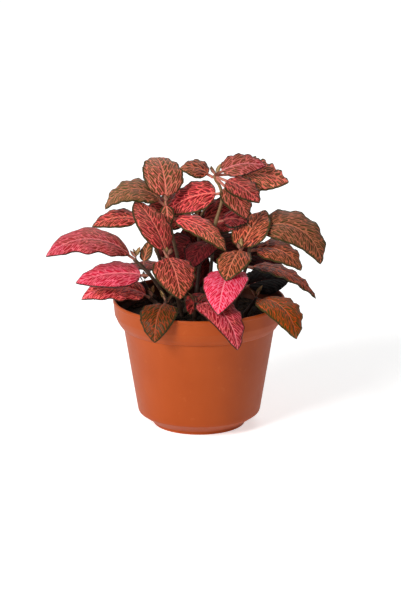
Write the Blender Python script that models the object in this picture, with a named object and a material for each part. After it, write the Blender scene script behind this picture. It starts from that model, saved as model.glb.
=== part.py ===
"""A nerve plant in a round plastic nursery pot.

Each stem and each leaf is its own solid, rooted in a block of potting mix that
fills the pot. Lengths are in millimetres and angles in degrees until MM turns
them into Blender's metres. +Z is up, and the origin is the middle of the pot's
underside. A heading of 0 points along +X, and one of 90 along +Y.
"""

import math
from typing import NamedTuple

import bmesh
import bpy
from mathutils import Matrix, Vector

MM = 0.001

# The pot: a tapered wall, a chamfer down to a small foot, and a collar at the rim.
POT_HEIGHT = 90.0
RIM_RADIUS = 60.0
COLLAR_HEIGHT = 19.5
COLLAR_STEP = 1.6
WALL_TOP_RADIUS = 52.8
WALL_FOOT_RADIUS = 43.0
CHAMFER_TOP = 9.5
FOOT_RADIUS = 32.4
FOOT_HEIGHT = 1.8
WALL = 1.3
POT_SIDES = 48
DRAIN_COUNT = 6
DRAIN_RADIUS = 4.0
DRAIN_CIRCLE = 22.0

# The potting mix, heaped a little towards the middle.
SOIL_EDGE = 78.5
SOIL_HEAP = 4.0
SOIL_RINGS = 9
SOIL_LUMP = 0.9

# The gap that touching pieces keep.
GAP = 0.3

STEM_RADIUS = 1.5
STEM_STEPS = 12
ROOT_DEPTH = 14.0

LEAF_THICKNESS = 0.8
PETIOLE_HALF_WIDTH = 0.9
TIP_HALF_WIDTH = 0.35
BLADE_ROWS = 8
BLADE_COLUMNS = 4
BEND_STEPS = 24

# A blade's lift across its half width: up from the crease at the midrib, then down to the margin.
CREASE = 0.22
CUP = 0.30

# A stalk that leaves within about 24 degrees of the stem's line starts at the stem's end.
SIDEWAYS = 0.4

SHARP_ANGLE = 35.0


class Stem(NamedTuple):
    name: str
    points: tuple


class Leaf(NamedTuple):
    name: str
    stem: str
    station: float
    heading: float
    rise: float
    droop: float
    roll: float
    petiole: float
    length: float
    width: float
    sweep: float = 0.0


STEMS = (
    Stem("stem_tall_left", ((-9, 10, 84), (-14, 9, 112), (-20, 7, 140), (-23, 6, 158))),
    Stem("stem_front_left", ((-12, -18, 84), (-17, -22, 104), (-22.5, -28, 128))),
    Stem("stem_far_left", ((-20, -4, 84), (-27, -7, 98), (-34, -9, 109), (-45, -8, 120))),
    Stem("stem_mid_left", ((-20, 18, 84), (-28, 15, 115), (-38, 10, 144))),
    Stem("stem_tall_right", ((6, 4, 84), (8, 6, 105), (11, 9, 138), (16, 11, 160), (10.5, 12, 175))),
    Stem("stem_front_right", ((12, -8, 84), (19, -12, 105), (29, -10, 127))),
    Stem("stem_far_right", ((26, 8, 84), (33, 7, 112), (38, 6, 137))),
    Stem("stem_low_front", ((-3, -30, 84), (-2, -35, 96))),
    Stem("stem_low_left", ((-21, -29, 84), (-23, -36, 97))),
    Stem("stem_low_right", ((32, -18, 84), (40, -21, 96))),
    Stem("stem_side_left", ((-29, 3, 84), (-34.5, 2, 89.5))),
    Stem("stem_back_left", ((-14, 26, 84), (-14, 34, 100), (-10, 40, 112))),
    Stem("stem_back_right", ((14, 28, 84), (18, 34, 96), (24, 38, 108))),
    Stem("stem_low_back", ((2, 38, 84), (4, 45, 93))),
    Stem("stem_low_back_left", ((-32, 22, 84), (-40, 28, 94))),
    Stem("stem_mid_back", ((-2, 21, 84), (0, 23, 112), (-1, 24, 142))),
)

LEAVES = (
    # name, stem, station, heading, rise, droop, roll, petiole, length, width, sweep
    Leaf("leaf_crest", "stem_tall_left", 1.0, 106, 86, 105, 0, 3, 42, 29),
    Leaf("leaf_crest_front", "stem_tall_left", 1.0, -80, -50, 30, 0, 3, 16, 10.5),
    Leaf("leaf_dome", "stem_tall_left", 0.96, 182, 50, 120, -20, 4, 46, 29),
    Leaf("leaf_centre", "stem_tall_left", 0.76, -23, 0, 58, 12, 4, 44, 24.5),
    Leaf("leaf_ladder_back", "stem_front_left", 1.0, 140, 70, 60, 0, 3, 45, 28, -20),
    Leaf("leaf_ladder_front", "stem_front_left", 1.0, -66, -20, 60, 0, 2, 33, 31),
    Leaf("leaf_wave", "stem_far_left", 1.0, 187, 45, 90, -22, 4, 64, 30),
    Leaf("leaf_rose_left", "stem_far_left", 0.7, 184, 10, 34, -27, 4, 46, 27),
    Leaf("leaf_small_left", "stem_far_left", 0.85, 60, 70, 30, 0, 2, 16, 10),
    Leaf("leaf_low_left", "stem_side_left", 1.0, 184, 34, 75, -27, 3, 48, 26),
    Leaf("leaf_mid_left", "stem_mid_left", 1.0, 182, 15, 50, -28, 3, 33, 20),
    Leaf("leaf_rim_left", "stem_low_left", 1.0, -104, 12, 105, 0, 3, 36, 26),
    Leaf("leaf_rim_front", "stem_low_front", 1.0, -50, 20, 105, 6, 3, 52, 27),
    Leaf("leaf_rose_front", "stem_front_right", 0.7, -101, 6, 56, 0, 3, 53, 31),
    Leaf("leaf_fork_front", "stem_front_right", 1.0, -110, -5, 45, 0, 2, 32, 24),
    Leaf("leaf_fork_back", "stem_front_right", 1.0, 55, 50, 30, 0, 2, 36, 28),
    Leaf("leaf_right_arch", "stem_far_right", 1.0, -3, 30, 118, 30, 3, 58, 32, -20),
    Leaf("leaf_right_curl", "stem_far_right", 0.72, -17, 20, 85, 20, 3, 38, 26),
    Leaf("leaf_right_blade", "stem_far_right", 0.48, -12, 8, 66, 5, 3, 52, 22),
    Leaf("leaf_shaded_right", "stem_far_right", 0.2, 20, 20, 40, 25, 4, 31, 28),
    Leaf("leaf_rim_right", "stem_low_right", 1.0, -43, 15, 100, 0, 3, 44, 33),
    Leaf("leaf_top_back", "stem_tall_right", 1.0, 9, 28, 48, 42, 4, 32, 19),
    Leaf("leaf_top_left", "stem_tall_right", 1.0, 176, 40, 65, -25, 3, 21, 21),
    Leaf("leaf_top_right", "stem_tall_right", 0.98, 18, 2, 30, 45, 12, 42, 28),
    Leaf("leaf_top_front", "stem_tall_right", 0.96, -35, -6, 40, 20, 8, 30, 22),
    Leaf("leaf_top_low", "stem_tall_right", 0.93, -42, -25, 45, 10, 8, 28, 24),
    Leaf("leaf_red_left", "stem_tall_right", 0.785, 172, 0, 50, -42, 2, 40, 27),
    Leaf("leaf_inner_rose", "stem_tall_right", 0.55, -10, 20, 50, 40, 3, 18, 16),
    Leaf("leaf_inner_low", "stem_tall_right", 0.1, -115, 10, 60, 0, 4, 28, 20),
    Leaf("leaf_back_1", "stem_back_left", 1.0, 110, 15, 85, 0, 3, 44, 28),
    Leaf("leaf_back_3", "stem_back_right", 1.0, 85, 15, 85, 0, 3, 44, 27),
    Leaf("leaf_back_4", "stem_back_right", 1.0, 3, 20, 50, 35, 3, 34, 26),
    Leaf("leaf_back_5", "stem_low_back", 1.0, 95, 10, 100, 0, 3, 42, 26),
    Leaf("leaf_back_6", "stem_low_back_left", 1.0, 150, 15, 85, 0, 3, 44, 26),
    Leaf("leaf_back_7", "stem_back_left", 0.5, 175, 20, 50, 0, 3, 44, 25),
    Leaf("leaf_back_8", "stem_mid_back", 0.08, 86, 56, -24, 0, 3, 31, 20),
    Leaf("leaf_fill_1", "stem_mid_back", 1.0, 182, 25, 60, -45, 3, 36, 30),
    Leaf("leaf_fill_2", "stem_mid_back", 0.96, -2, 25, 60, 45, 3, 36, 30),
    Leaf("leaf_fill_3", "stem_mid_back", 0.62, 182, 15, 50, -45, 3, 26, 24),
    Leaf("leaf_fill_4", "stem_mid_back", 0.6, 0, 15, 50, 45, 3, 34, 28),
    Leaf("leaf_fill_5", "stem_tall_right", 0.42, -118, 12, 75, 0, 3, 32, 24),
    Leaf("leaf_fill_6", "stem_mid_back", 0.42, 88, 48, -32, 0, 4, 36, 30),
)


def smooth_route(points, steps):
    """Points read evenly along a Catmull-Rom curve through the given ones, in millimetres."""
    knots = [Vector(p) for p in points]
    knots = [2 * knots[0] - knots[1], *knots, 2 * knots[-1] - knots[-2]]
    spans = len(points) - 1
    found = []
    for i in range(steps + 1):
        along = i / steps * spans
        k = min(int(along), spans - 1)
        t = along - k
        a, b, c, d = knots[k : k + 4]
        found.append(
            0.5 * (2 * b + (c - a) * t + (2 * a - 5 * b + 4 * c - d) * t**2 + (3 * b - a - 3 * c + d) * t**3)
        )
    return found


def material(name, colour, roughness):
    made = bpy.data.materials.new(name)
    made.use_nodes = True
    shader = made.node_tree.nodes["Principled BSDF"]
    shader.inputs["Base Color"].default_value = (*colour, 1.0)
    shader.inputs["Roughness"].default_value = roughness
    return made


def add_object(name, bm, finish, location=(0, 0, 0), heading=0.0):
    """A mesh object at a place in millimetres, turned about Z, with its round parts shaded smooth."""
    mesh = bpy.data.meshes.new(name)
    bm.to_mesh(mesh)
    bm.free()
    mesh.materials.append(finish)
    mesh.shade_smooth()
    mesh.set_sharp_from_angle(angle=math.radians(SHARP_ANGLE))
    made = bpy.data.objects.new(name, mesh)
    made.location = Vector(location) * MM
    made.rotation_euler.z = math.radians(heading)
    bpy.context.scene.collection.objects.link(made)
    return made


def post(radius, low, high):
    """A cylinder on the Z axis between two heights, in millimetres."""
    bm = bmesh.new()
    bmesh.ops.create_cone(
        bm,
        cap_ends=True,
        segments=16,
        radius1=radius * MM,
        radius2=radius * MM,
        depth=(high - low) * MM,
        matrix=Matrix.Translation((0, 0, (low + high) / 2 * MM)),
    )
    return bm


def turned(profile, sides):
    """A closed solid turned about Z from (radius, height) points in millimetres, outside first."""
    bm = bmesh.new()
    ring = [bm.verts.new((r * MM, 0, z * MM)) for r, z in profile]
    edges = [bm.edges.new(pair) for pair in zip(ring, ring[1:])]
    bmesh.ops.spin(
        bm, geom=ring + edges, axis=(0, 0, 1), cent=(0, 0, 0), angle=math.tau, steps=sides, use_merge=True
    )
    bmesh.ops.remove_doubles(bm, verts=bm.verts, dist=0.01 * MM)
    bmesh.ops.recalc_face_normals(bm, faces=bm.faces)
    return bm


def pot_profile():
    """The pot's outside from the middle of its foot up to the rim, then its inside back down."""
    collar_foot = POT_HEIGHT - COLLAR_HEIGHT
    return (
        (0, 0),
        (FOOT_RADIUS - 0.6, 0),
        (FOOT_RADIUS, 0.6),
        (FOOT_RADIUS, FOOT_HEIGHT),
        (WALL_FOOT_RADIUS - 1.0, CHAMFER_TOP - 1.2),
        (WALL_FOOT_RADIUS, CHAMFER_TOP + 0.6),
        (WALL_TOP_RADIUS, collar_foot),
        (WALL_TOP_RADIUS + COLLAR_STEP, collar_foot + 0.8),
        (RIM_RADIUS - 3.2, collar_foot + 4),
        (RIM_RADIUS - 1.0, collar_foot + 9),
        (RIM_RADIUS, POT_HEIGHT - 0.8),
        (RIM_RADIUS - 0.4, POT_HEIGHT),
        (RIM_RADIUS - WALL, POT_HEIGHT),
        (RIM_RADIUS - 1.0 - WALL, collar_foot + 9),
        (RIM_RADIUS - 3.2 - WALL, collar_foot + 4.5),
        (WALL_TOP_RADIUS - WALL, collar_foot + WALL),
        (WALL_FOOT_RADIUS - WALL, CHAMFER_TOP + 1.2),
        (FOOT_RADIUS - 0.4, FOOT_HEIGHT + 1.0),
        (FOOT_RADIUS - 2.0, WALL),
        (0, WALL),
    )


def cut_with(piece, cutter):
    cutter.hide_render = True
    cutter.display_type = "WIRE"
    cut = piece.modifiers.new(cutter.name, "BOOLEAN")
    cut.operation = "DIFFERENCE"
    cut.object = cutter


def make_pot(finish):
    pot = add_object("pot", turned(pot_profile(), POT_SIDES), finish)
    for i in range(DRAIN_COUNT):
        turn = math.tau * i / DRAIN_COUNT
        place = (DRAIN_CIRCLE * math.cos(turn), DRAIN_CIRCLE * math.sin(turn), 0)
        hole = post(DRAIN_RADIUS, -2 * WALL, 3 * WALL)
        cut_with(pot, add_object(f"drain_cutter_{i + 1}", hole, finish, place))
    return pot


def soil_top(x, y):
    """Height of the potting mix at a point, all in millimetres."""
    share = min(math.hypot(x, y) / WALL_TOP_RADIUS, 1.0)
    lumps = math.sin(0.31 * x + 1.0) * math.sin(0.27 * y + 0.4) + 0.6 * math.sin(0.17 * x - 0.23 * y)
    return SOIL_EDGE + SOIL_HEAP * (1 - share**2) + SOIL_LUMP * lumps * (1 - share**4)


def make_soil(finish):
    """The potting mix: turned to the pot's inside, then made lumpy on top."""
    collar_foot = POT_HEIGHT - COLLAR_HEIGHT
    slack = WALL + GAP
    top_radius = WALL_TOP_RADIUS + COLLAR_STEP - slack
    profile = [
        (0, slack),
        (FOOT_RADIUS - 2.5, slack),
        (WALL_FOOT_RADIUS - slack - 0.3, CHAMFER_TOP + 1.6),
        (WALL_TOP_RADIUS - slack - 0.1, collar_foot + WALL),
        (top_radius, SOIL_EDGE),
    ]
    profile += [(top_radius * (1 - k / SOIL_RINGS), SOIL_EDGE) for k in range(1, SOIL_RINGS + 1)]
    bm = turned(profile, POT_SIDES)
    for vert in bm.verts:
        x, y, z = vert.co / MM
        if z > SOIL_EDGE - 0.1 and math.hypot(x, y) < top_radius - 1:
            vert.co.z = soil_top(x, y) * MM
    return add_object("soil", bm, finish)


def make_stem(stem, finish, soil):
    """One stem, standing in a socket that it has in the soil, and its free line from the soil to its tip."""
    free = smooth_route(stem.points, STEM_STEPS)
    root = free[0] - Vector((0, 0, ROOT_DEPTH))
    curve = bpy.data.curves.new(stem.name, "CURVE")
    curve.dimensions = "3D"
    curve.bevel_depth = STEM_RADIUS * MM
    curve.bevel_resolution = 2
    curve.use_fill_caps = True
    spline = curve.splines.new("POLY")
    spline.points.add(len(free))
    for point, place in zip(spline.points, [root, *free]):
        point.co = (*(place * MM), 1.0)
    curve.materials.append(finish)
    bpy.context.scene.collection.objects.link(bpy.data.objects.new(stem.name, curve))
    socket = post(STEM_RADIUS + 1.3 * GAP, -GAP, ROOT_DEPTH + SOIL_HEAP + SOIL_LUMP + 2)
    cut_with(soil, add_object(f"{stem.name}_socket", socket, finish, root))
    return free


def along(route, share):
    """The point and direction at a share of the way along a route."""
    reach = share * (len(route) - 1)
    k = min(int(reach), len(route) - 2)
    return route[k].lerp(route[k + 1], reach - k), (route[k + 1] - route[k]).normalized()


def outline(u):
    """A blade's half width as a share of its widest, from base (0) to tip (1)."""
    low, high = 0.62, 0.88
    peak = low / (low + high)
    return (u / peak) ** low * ((1 - u) / (1 - peak)) ** high


def bend_share(leaf, s):
    """How much of a blade's bend it has made at a distance from the stalk's foot."""
    return max(0.0, s - leaf.petiole) / leaf.length


def direction(leaf, s):
    """The midrib's direction at a distance from the stalk's foot, in a frame whose X is the heading."""
    pitch = math.radians(leaf.rise - leaf.droop * bend_share(leaf, s))
    turn = math.radians(leaf.sweep * bend_share(leaf, s))
    return Vector((math.cos(turn) * math.cos(pitch), math.sin(turn) * math.cos(pitch), math.sin(pitch)))


def blade_frames(leaf, stations):
    """The midrib's point, side and upward normal at each distance from the stalk's foot."""
    step = (leaf.petiole + leaf.length) / BEND_STEPS
    line = [Vector()]
    for i in range(BEND_STEPS):
        line.append(line[-1] + step * direction(leaf, (i + 0.5) * step))
    frames = []
    for s in stations:
        k = min(int(s / step), BEND_STEPS - 1)
        tangent = direction(leaf, s)
        turn = math.radians(leaf.sweep * bend_share(leaf, s))
        level = Vector((math.sin(turn), -math.cos(turn), 0))
        side = Matrix.Rotation(math.radians(leaf.roll), 3, tangent) @ level
        frames.append((line[k].lerp(line[k + 1], s / step - k), side, side.cross(tangent)))
    return frames


def leaf_foot(leaf, route):
    """Where a leaf's stalk starts: ahead of the stem's tip if it carries on its line, else at its side."""
    place, axis = along(route, leaf.station)
    out = Matrix.Rotation(math.radians(leaf.heading), 3, "Z") @ direction(leaf, 0)
    across = out - out.dot(axis) * axis
    if across.length < SIDEWAYS:
        return place + out * (GAP + STEM_RADIUS * across.length)
    return place + across.normalized() * (STEM_RADIUS + GAP + LEAF_THICKNESS / 2)


def half_width(leaf, row, shares):
    if row == 0:
        return PETIOLE_HALF_WIDTH
    u = shares[row - 1]
    least = PETIOLE_HALF_WIDTH if u < 0.5 else TIP_HALF_WIDTH
    return max(leaf.width / 2 * outline(u), least)


def make_leaf(leaf, route, finish):
    """One blade with its stalk, arched along its midrib, creased at it and cupped down to the margins."""
    shares = [(1 - math.cos(math.pi * k / BLADE_ROWS)) / 2 for k in range(BLADE_ROWS + 1)]
    frames = blade_frames(leaf, [0.0] + [leaf.petiole + leaf.length * u for u in shares])
    bm = bmesh.new()
    bmesh.ops.create_grid(bm, x_segments=BLADE_ROWS + 1, y_segments=BLADE_COLUMNS, size=1.0)
    for vert in bm.verts:
        row = round((vert.co.x + 1) / 2 * (BLADE_ROWS + 1))
        across = vert.co.y
        middle, side, up = frames[row]
        half = half_width(leaf, row, shares)
        lift = half * (CREASE * abs(across) - CUP * across**2) if half > PETIOLE_HALF_WIDTH else 0
        vert.co = (middle + side * half * across + up * lift) * MM
    made = add_object(leaf.name, bm, finish, leaf_foot(leaf, route), leaf.heading)
    wall = made.modifiers.new("Thickness", "SOLIDIFY")
    wall.thickness = LEAF_THICKNESS * MM
    wall.offset = 0.0
    return made


def main():
    for old in list(bpy.data.objects):
        bpy.data.objects.remove(old)
    terracotta = material("pot_plastic", (0.50, 0.11, 0.03), 0.45)
    peat = material("potting_mix", (0.012, 0.009, 0.007), 0.95)
    stem_skin = material("stem_skin", (0.16, 0.13, 0.06), 0.55)
    leaf_skin = material("leaf_skin", (0.45, 0.04, 0.06), 0.45)
    make_pot(terracotta)
    soil = make_soil(peat)
    routes = {stem.name: make_stem(stem, stem_skin, soil) for stem in STEMS}
    for leaf in LEAVES:
        make_leaf(leaf, routes[leaf.stem], leaf_skin)


main()
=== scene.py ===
"""A nerve plant in a round plastic nursery pot: its looks.

Each stem, leaf, the potting mix and the pot is made again in fine detail in the
place that the frame holds it. Lengths are in millimetres and angles in degrees
until MM turns them into metres. A heading of 0 points along +X, and 90 along +Y.
"""

import math
import random
from typing import NamedTuple

import bmesh
import bpy
from mathutils import Matrix, Vector, noise


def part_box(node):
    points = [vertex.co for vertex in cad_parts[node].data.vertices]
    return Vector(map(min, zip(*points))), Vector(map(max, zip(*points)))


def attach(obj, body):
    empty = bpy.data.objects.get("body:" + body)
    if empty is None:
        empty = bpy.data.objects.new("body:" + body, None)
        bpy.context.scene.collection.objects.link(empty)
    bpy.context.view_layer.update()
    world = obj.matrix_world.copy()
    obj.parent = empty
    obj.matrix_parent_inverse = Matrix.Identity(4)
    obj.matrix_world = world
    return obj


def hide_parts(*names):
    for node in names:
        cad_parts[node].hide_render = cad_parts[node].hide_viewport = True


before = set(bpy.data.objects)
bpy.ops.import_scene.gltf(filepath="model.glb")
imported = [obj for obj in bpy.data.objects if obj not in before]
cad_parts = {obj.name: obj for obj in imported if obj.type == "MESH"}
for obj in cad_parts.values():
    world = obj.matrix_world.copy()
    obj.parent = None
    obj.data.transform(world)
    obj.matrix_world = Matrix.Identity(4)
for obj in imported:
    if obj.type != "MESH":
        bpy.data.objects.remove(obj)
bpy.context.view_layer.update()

MM = 0.001

# The pot, in the frame's own measures.
POT_HEIGHT = 90.0
RIM_RADIUS = 60.0
COLLAR_FOOT = 70.5
COLLAR_STEP = 1.6
WALL_TOP_RADIUS = 52.8
WALL_FOOT_RADIUS = 43.0
CHAMFER_TOP = 9.5
FOOT_RADIUS = 32.4
FOOT_HEIGHT = 1.8
WALL = 1.3
POT_SIDES = 144
DRAIN_COUNT = 6
DRAIN_RADIUS = 4.0
DRAIN_CIRCLE = 22.0

# The potting mix.
SOIL_EDGE = 78.5
SOIL_HEAP = 4.0
SOIL_LUMP = 0.9
SOIL_RINGS = 40
SOIL_SIDES = 128
CRUMB_COUNT = 900

# Stems and leaves, in the frame's own measures.
GAP = 0.3
STEM_RADIUS = 1.5
STEM_STEPS = 12
LEAF_THICKNESS = 0.8
BEND_STEPS = 24
CREASE = 0.22
CUP = 0.30
SIDEWAYS = 0.4

# The fine blade: rows along it, columns across it, and its skin.
ROWS = 60
COLUMNS = 26
SKIN = 0.5
RIB_SPACING = 5.2
RIB_SLANT = 1.25
RIB_CURVE = 0.022
QUILT = 0.34
GROOVE = 0.35

# The fine stem: points along it, sides around it, and how it thickens at its nodes.
STEM_POINTS = 72
STEM_SIDES = 14
STEM_BASE = 1.3
STEM_TAPER = 0.22
NODE_SWELL = 0.42
NODE_REACH = 2.3

# Heights in metres between which a leaf's colour changes. The last three set where the top leaves are
# painted paler, as painted light.
DEEP_BELOW = 0.085
DEEP_UNTIL = 0.115
OLIVE_BELOW = 0.095
OLIVE_UNTIL = 0.12
PAINTED_LIGHT_FROM = 0.10
PAINTED_LIGHT_ABOVE = 0.165
PAINTED_LIGHT_MOST = 0.24

# The studio, in metres.
FLOOR_REACH = 4.0
CURVE_START = 1.5
CURVE_RADIUS = 0.8
BACKDROP_TOP = 2.2
CAMERA_REACH = 1.8
CAMERA_TILT = 15.7
LENS = 154.5


class Stem(NamedTuple):
    name: str
    points: tuple


class Leaf(NamedTuple):
    name: str
    stem: str
    station: float
    heading: float
    rise: float
    droop: float
    roll: float
    petiole: float
    length: float
    width: float
    sweep: float = 0.0


class Look(NamedTuple):
    """A leaf's skin and margin.

    base and tip: how flushed its colour is there, from 0 to 1.
    ripple: how far the margin waves up and down, in millimetres.
    scallop: how far it waves in and out, as a share of the width.
    waves: how many waves there are along it.
    depth: how much darker than its skin it is painted, as painted shade; below 0 it is painted lighter, as
    painted light.
    shoulder: below 1, how full it is near its base.
    lopsided: how much more one margin waves than the other, from -1 to 1.
    """

    skin: str
    base: float
    tip: float
    ripple: float = 0.5
    scallop: float = 0.02
    waves: float = 5.0
    depth: float = 0.0
    shoulder: float = 0.46
    lopsided: float = 0.0


STEMS = (
    Stem("stem_tall_left", ((-9, 10, 84), (-14, 9, 112), (-20, 7, 140), (-23, 6, 158))),
    Stem("stem_front_left", ((-12, -18, 84), (-17, -22, 104), (-22.5, -28, 128))),
    Stem("stem_far_left", ((-20, -4, 84), (-27, -7, 98), (-34, -9, 109), (-45, -8, 120))),
    Stem("stem_mid_left", ((-20, 18, 84), (-28, 15, 115), (-38, 10, 144))),
    Stem("stem_tall_right", ((6, 4, 84), (8, 6, 105), (11, 9, 138), (16, 11, 160), (10.5, 12, 175))),
    Stem("stem_front_right", ((12, -8, 84), (19, -12, 105), (29, -10, 127))),
    Stem("stem_far_right", ((26, 8, 84), (33, 7, 112), (38, 6, 137))),
    Stem("stem_low_front", ((-3, -30, 84), (-2, -35, 96))),
    Stem("stem_low_left", ((-21, -29, 84), (-23, -36, 97))),
    Stem("stem_low_right", ((32, -18, 84), (40, -21, 96))),
    Stem("stem_side_left", ((-29, 3, 84), (-34.5, 2, 89.5))),
    Stem("stem_back_left", ((-14, 26, 84), (-14, 34, 100), (-10, 40, 112))),
    Stem("stem_back_right", ((14, 28, 84), (18, 34, 96), (24, 38, 108))),
    Stem("stem_low_back", ((2, 38, 84), (4, 45, 93))),
    Stem("stem_low_back_left", ((-32, 22, 84), (-40, 28, 94))),
    Stem("stem_mid_back", ((-2, 21, 84), (0, 23, 112), (-1, 24, 142))),
)

LEAVES = (
    # name, stem, station, heading, rise, droop, roll, petiole, length, width, sweep
    Leaf("leaf_crest", "stem_tall_left", 1.0, 106, 86, 105, 0, 3, 42, 29),
    Leaf("leaf_crest_front", "stem_tall_left", 1.0, -80, -50, 30, 0, 3, 16, 10.5),
    Leaf("leaf_dome", "stem_tall_left", 0.96, 182, 50, 120, -20, 4, 46, 29),
    Leaf("leaf_centre", "stem_tall_left", 0.76, -23, 0, 58, 12, 4, 44, 24.5),
    Leaf("leaf_ladder_back", "stem_front_left", 1.0, 140, 70, 60, 0, 3, 45, 28, -20),
    Leaf("leaf_ladder_front", "stem_front_left", 1.0, -66, -20, 60, 0, 2, 33, 31),
    Leaf("leaf_wave", "stem_far_left", 1.0, 187, 45, 90, -22, 4, 64, 30),
    Leaf("leaf_rose_left", "stem_far_left", 0.7, 184, 10, 34, -27, 4, 46, 27),
    Leaf("leaf_small_left", "stem_far_left", 0.85, 60, 70, 30, 0, 2, 16, 10),
    Leaf("leaf_low_left", "stem_side_left", 1.0, 184, 34, 75, -27, 3, 48, 26),
    Leaf("leaf_mid_left", "stem_mid_left", 1.0, 182, 15, 50, -28, 3, 33, 20),
    Leaf("leaf_rim_left", "stem_low_left", 1.0, -104, 12, 105, 0, 3, 36, 26),
    Leaf("leaf_rim_front", "stem_low_front", 1.0, -50, 20, 105, 6, 3, 52, 27),
    Leaf("leaf_rose_front", "stem_front_right", 0.7, -101, 6, 56, 0, 3, 53, 31),
    Leaf("leaf_fork_front", "stem_front_right", 1.0, -110, -5, 45, 0, 2, 32, 24),
    Leaf("leaf_fork_back", "stem_front_right", 1.0, 55, 50, 30, 0, 2, 36, 28),
    Leaf("leaf_right_arch", "stem_far_right", 1.0, -3, 30, 118, 30, 3, 58, 32, -20),
    Leaf("leaf_right_curl", "stem_far_right", 0.72, -17, 20, 85, 20, 3, 38, 26),
    Leaf("leaf_right_blade", "stem_far_right", 0.48, -12, 8, 66, 5, 3, 52, 22),
    Leaf("leaf_shaded_right", "stem_far_right", 0.2, 20, 20, 40, 25, 4, 31, 28),
    Leaf("leaf_rim_right", "stem_low_right", 1.0, -43, 15, 100, 0, 3, 44, 33),
    Leaf("leaf_top_back", "stem_tall_right", 1.0, 9, 28, 48, 42, 4, 32, 19),
    Leaf("leaf_top_left", "stem_tall_right", 1.0, 176, 40, 65, -25, 3, 21, 21),
    Leaf("leaf_top_right", "stem_tall_right", 0.98, 18, 2, 30, 45, 12, 42, 28),
    Leaf("leaf_top_front", "stem_tall_right", 0.96, -35, -6, 40, 20, 8, 30, 22),
    Leaf("leaf_top_low", "stem_tall_right", 0.93, -42, -25, 45, 10, 8, 28, 24),
    Leaf("leaf_red_left", "stem_tall_right", 0.785, 172, 0, 50, -42, 2, 40, 27),
    Leaf("leaf_inner_rose", "stem_tall_right", 0.55, -10, 20, 50, 40, 3, 18, 16),
    Leaf("leaf_inner_low", "stem_tall_right", 0.1, -115, 10, 60, 0, 4, 28, 20),
    Leaf("leaf_back_1", "stem_back_left", 1.0, 110, 15, 85, 0, 3, 44, 28),
    Leaf("leaf_back_3", "stem_back_right", 1.0, 85, 15, 85, 0, 3, 44, 27),
    Leaf("leaf_back_4", "stem_back_right", 1.0, 3, 20, 50, 35, 3, 34, 26),
    Leaf("leaf_back_5", "stem_low_back", 1.0, 95, 10, 100, 0, 3, 42, 26),
    Leaf("leaf_back_6", "stem_low_back_left", 1.0, 150, 15, 85, 0, 3, 44, 26),
    Leaf("leaf_back_7", "stem_back_left", 0.5, 175, 20, 50, 0, 3, 44, 25),
    Leaf("leaf_back_8", "stem_mid_back", 0.08, 86, 56, -24, 0, 3, 31, 20),
    # The fill leaves close the middle of the plant; most wear the dark skin, which is partly painted shade.
    Leaf("leaf_fill_1", "stem_mid_back", 1.0, 182, 25, 60, -45, 3, 36, 30),
    Leaf("leaf_fill_2", "stem_mid_back", 0.96, -2, 25, 60, 45, 3, 36, 30),
    Leaf("leaf_fill_3", "stem_mid_back", 0.62, 182, 15, 50, -45, 3, 26, 24),
    Leaf("leaf_fill_4", "stem_mid_back", 0.6, 0, 15, 50, 45, 3, 34, 28),
    Leaf("leaf_fill_5", "stem_tall_right", 0.42, -118, 12, 75, 0, 3, 32, 24),
    Leaf("leaf_fill_6", "stem_mid_back", 0.42, 88, 48, -32, 0, 4, 36, 30),
)

# The seventh value of each look, depth, is painted shade, and painted light where it is below 0.
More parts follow.
